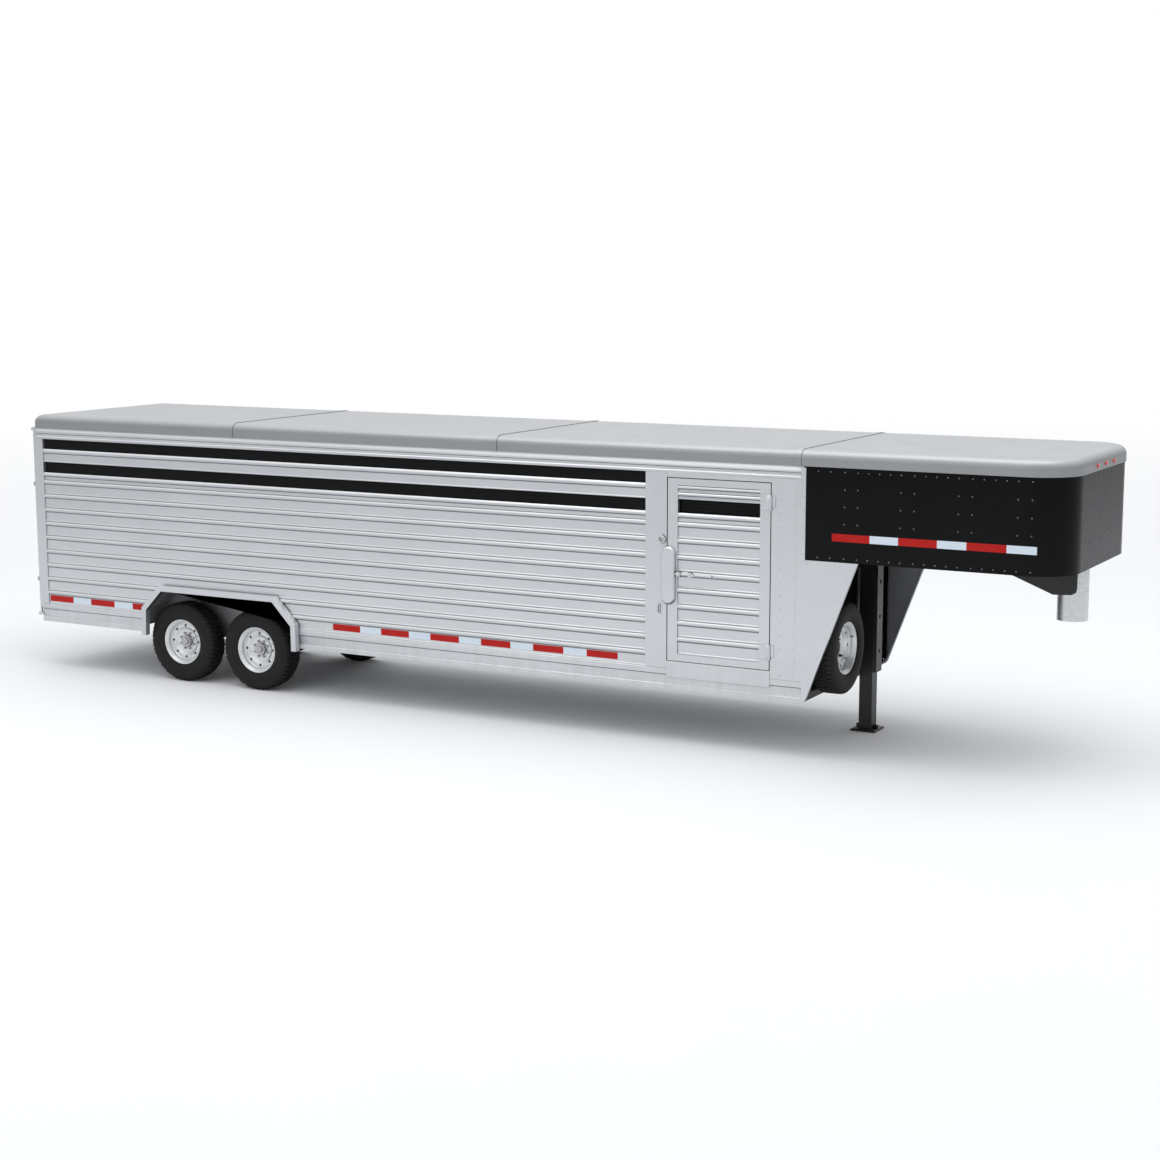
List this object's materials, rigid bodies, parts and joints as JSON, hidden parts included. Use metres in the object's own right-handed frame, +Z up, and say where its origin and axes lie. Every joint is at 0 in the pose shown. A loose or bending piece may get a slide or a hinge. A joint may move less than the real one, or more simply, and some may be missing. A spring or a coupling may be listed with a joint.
{
  "type": "livestock trailer",
  "caption": "Gooseneck livestock trailer with slatted aluminium sides, black nose, tandem axles, side door, rear slide gate and landing jack",
  "frame": {"origin": "on the ground under the middle of the overall length and width", "axes": "+X towards the nose and the tow vehicle, +Y to the left side, +Z up"},
  "size_m": [10.952, 2.104, 2.651],
  "materials": {
    "aluminium_body": "bright mill aluminium, lightly polished",
    "aluminium_inner": "mill aluminium",
    "roof_silver": "satin silver",
    "black_nose": "gloss black paint on aluminium sheet",
    "black_paint": "gloss black paint",
    "black_steel": "satin black paint",
    "zinc_steel": "zinc plated",
    "hub_steel": "machined steel",
    "wheel_silver": "bright silver paint",
    "tyre_rubber": "black rubber",
    "red_film": "retroreflective film",
    "white_film": "retroreflective film",
    "lamp_lens": "red lens"
  },
  "bodies": {
    "trailer": {"axle_tubes": "black_paint", "body_rivets": "aluminium_body", "bottom_rails": "aluminium_body", "bulkhead": "black_nose", "centre_gate_posts": "aluminium_inner", "coupler_gussets": "black_paint", "coupler_sleeve": "zinc_steel", "door_post_fittings": "aluminium_body", "fender_flares": "aluminium_body", "floor_beams": "aluminium_inner", "floor_planks": "aluminium_inner", "front_side_sheets": "aluminium_body", "jack_housing": "black_paint", "lamps": "lamp_lens", "nose_floor": "black_nose", "nose_rivets": "black_nose", "nose_shell": "black_nose", "rear_frame": "aluminium_body", "roof_bows": "aluminium_inner", "roof_panels": "roof_silver", "side_slats_left": "aluminium_body", "side_slats_right": "aluminium_body", "spare_carrier": "black_paint", "spare_rim": "wheel_silver", "spare_tyre": "tyre_rubber", "tape_red": "red_film", "tape_white": "white_film", "top_rails": "aluminium_body", "wall_posts": "aluminium_body", "wheel_wells": "aluminium_inner"},
    "side_door": {"door_frame": "aluminium_body", "door_slats": "aluminium_body", "door_latch_guard": "aluminium_body"},
    "door_bolt": {"door_bolt": "zinc_steel"},
    "rear_gate": {"rear_gate": "aluminium_body", "rear_gate_fittings": "aluminium_inner"},
    "slide_gate": {"slide_gate": "aluminium_inner"},
    "cam_bar": {"cam_bar": "zinc_steel"},
    "centre_gate": {"centre_gate": "aluminium_inner"},
    "centre_gate_pin": {"centre_gate_pin": "zinc_steel"},
    "jack_leg": {"jack_leg": "black_paint"},
    "jack_crank": {"jack_crank": "black_paint"},
    "coupler_tube": {"coupler_tube": "zinc_steel"},
    "ball_clamp": {"ball_clamp": "zinc_steel"},
    "arm_rear_right": {"torsion_arm_rear_right": "black_steel"},
    "wheel_rear_right": {"hub_rear_right": "hub_steel", "rim_rear_right": "wheel_silver", "tyre_rear_right": "tyre_rubber"},
    "arm_front_right": {"torsion_arm_front_right": "black_steel"},
    "wheel_front_right": {"hub_front_right": "hub_steel", "rim_front_right": "wheel_silver", "tyre_front_right": "tyre_rubber"},
    "arm_rear_left": {"torsion_arm_rear_left": "black_steel"},
    "wheel_rear_left": {"hub_rear_left": "hub_steel", "rim_rear_left": "wheel_silver", "tyre_rear_left": "tyre_rubber"},
    "arm_front_left": {"torsion_arm_front_left": "black_steel"},
    "wheel_front_left": {"hub_front_left": "hub_steel", "rim_front_left": "wheel_silver", "tyre_front_left": "tyre_rubber"}
  },
  "joints": [
    {"name": "side_door_swing", "type": "hinge", "parent": "trailer", "child": "side_door", "pos_m": [2.9, -0.999, 1.54], "axis": [0, 0, 1], "range_deg": [0, 165]},
    {"name": "door_bolt_slide", "type": "slide", "parent": "side_door", "child": "door_bolt", "axis": [1, 0, 0], "range_m": [0, 0.06]},
    {"name": "rear_gate_swing", "type": "hinge", "parent": "trailer", "child": "rear_gate", "pos_m": [-5.427, 1.001, 1.54], "axis": [0, 0, -1], "range_deg": [0, 210]},
    {"name": "slide_gate_travel", "type": "slide", "parent": "rear_gate", "child": "slide_gate", "axis": [0, 1, 0], "range_m": [0, 0.84]},
    {"name": "cam_bar_turn", "type": "hinge", "parent": "rear_gate", "child": "cam_bar", "pos_m": [-5.46, -0.955, 1.5], "axis": [0, 0, 1], "range_deg": [0, 90]},
    {"name": "centre_gate_swing", "type": "hinge", "parent": "trailer", "child": "centre_gate", "pos_m": [-1.106, 0.881, 1.45], "axis": [0, 0, 1], "range_deg": [0, 88]},
    {"name": "centre_gate_pin_slide", "type": "slide", "parent": "centre_gate", "child": "centre_gate_pin", "axis": [0, 1, 0], "range_m": [0, 0.05]},
    {"name": "jack_leg_travel", "type": "slide", "parent": "trailer", "child": "jack_leg", "axis": [0, 0, 1], "range_m": [0, 0.45]},
    {"name": "jack_crank_turn", "type": "hinge", "parent": "trailer", "child": "jack_crank", "pos_m": [3.339, 0.4, 1.24], "axis": [0, 1, 0], "range_deg": [-1, 6482]},
    {"name": "coupler_height", "type": "slide", "parent": "trailer", "child": "coupler_tube", "axis": [0, 0, -1], "range_m": [0, 0.3]},
    {"name": "ball_clamp_turn", "type": "hinge", "parent": "coupler_tube", "child": "ball_clamp", "pos_m": [5.15, 0, 1.24], "axis": [0, 0, 1], "range_deg": [0, 28]},
    {"name": "torsion_rear_right", "type": "hinge", "parent": "trailer", "child": "arm_rear_right", "pos_m": [-3.43799, -0.65, 0.4325], "axis": [0, 1, 0], "range_deg": [-12, 24], "stiffness_Nm_per_rad": 9000, "springref_deg": -3.27},
    {"name": "wheel_spin_rear_right", "type": "hinge", "parent": "arm_rear_right", "child": "wheel_rear_right", "pos_m": [-3.587, -0.8415, 0.4025], "axis": [0, 1, 0], "continuous": true},
    {"name": "torsion_front_right", "type": "hinge", "parent": "trailer", "child": "arm_front_right", "pos_m": [-2.50199, -0.65, 0.4325], "axis": [0, 1, 0], "range_deg": [-12, 24], "stiffness_Nm_per_rad": 9000, "springref_deg": -3.27},
    {"name": "wheel_spin_front_right", "type": "hinge", "parent": "arm_front_right", "child": "wheel_front_right", "pos_m": [-2.651, -0.8415, 0.4025], "axis": [0, 1, 0], "continuous": true},
    {"name": "torsion_rear_left", "type": "hinge", "parent": "trailer", "child": "arm_rear_left", "pos_m": [-3.43799, 0.65, 0.4325], "axis": [0, 1, 0], "range_deg": [-12, 24], "stiffness_Nm_per_rad": 9000, "springref_deg": -3.27},
    {"name": "wheel_spin_rear_left", "type": "hinge", "parent": "arm_rear_left", "child": "wheel_rear_left", "pos_m": [-3.587, 0.8415, 0.4025], "axis": [0, 1, 0], "continuous": true},
    {"name": "torsion_front_left", "type": "hinge", "parent": "trailer", "child": "arm_front_left", "pos_m": [-2.50199, 0.65, 0.4325], "axis": [0, 1, 0], "range_deg": [-12, 24], "stiffness_Nm_per_rad": 9000, "springref_deg": -3.27},
    {"name": "wheel_spin_front_left", "type": "hinge", "parent": "arm_front_left", "child": "wheel_front_left", "pos_m": [-2.651, 0.8415, 0.4025], "axis": [0, 1, 0], "continuous": true}
  ],
  "couplings": [
    {"joint": "jack_crank_turn", "follows": "jack_leg_travel", "rad_per_m": 251.33}
  ]
}
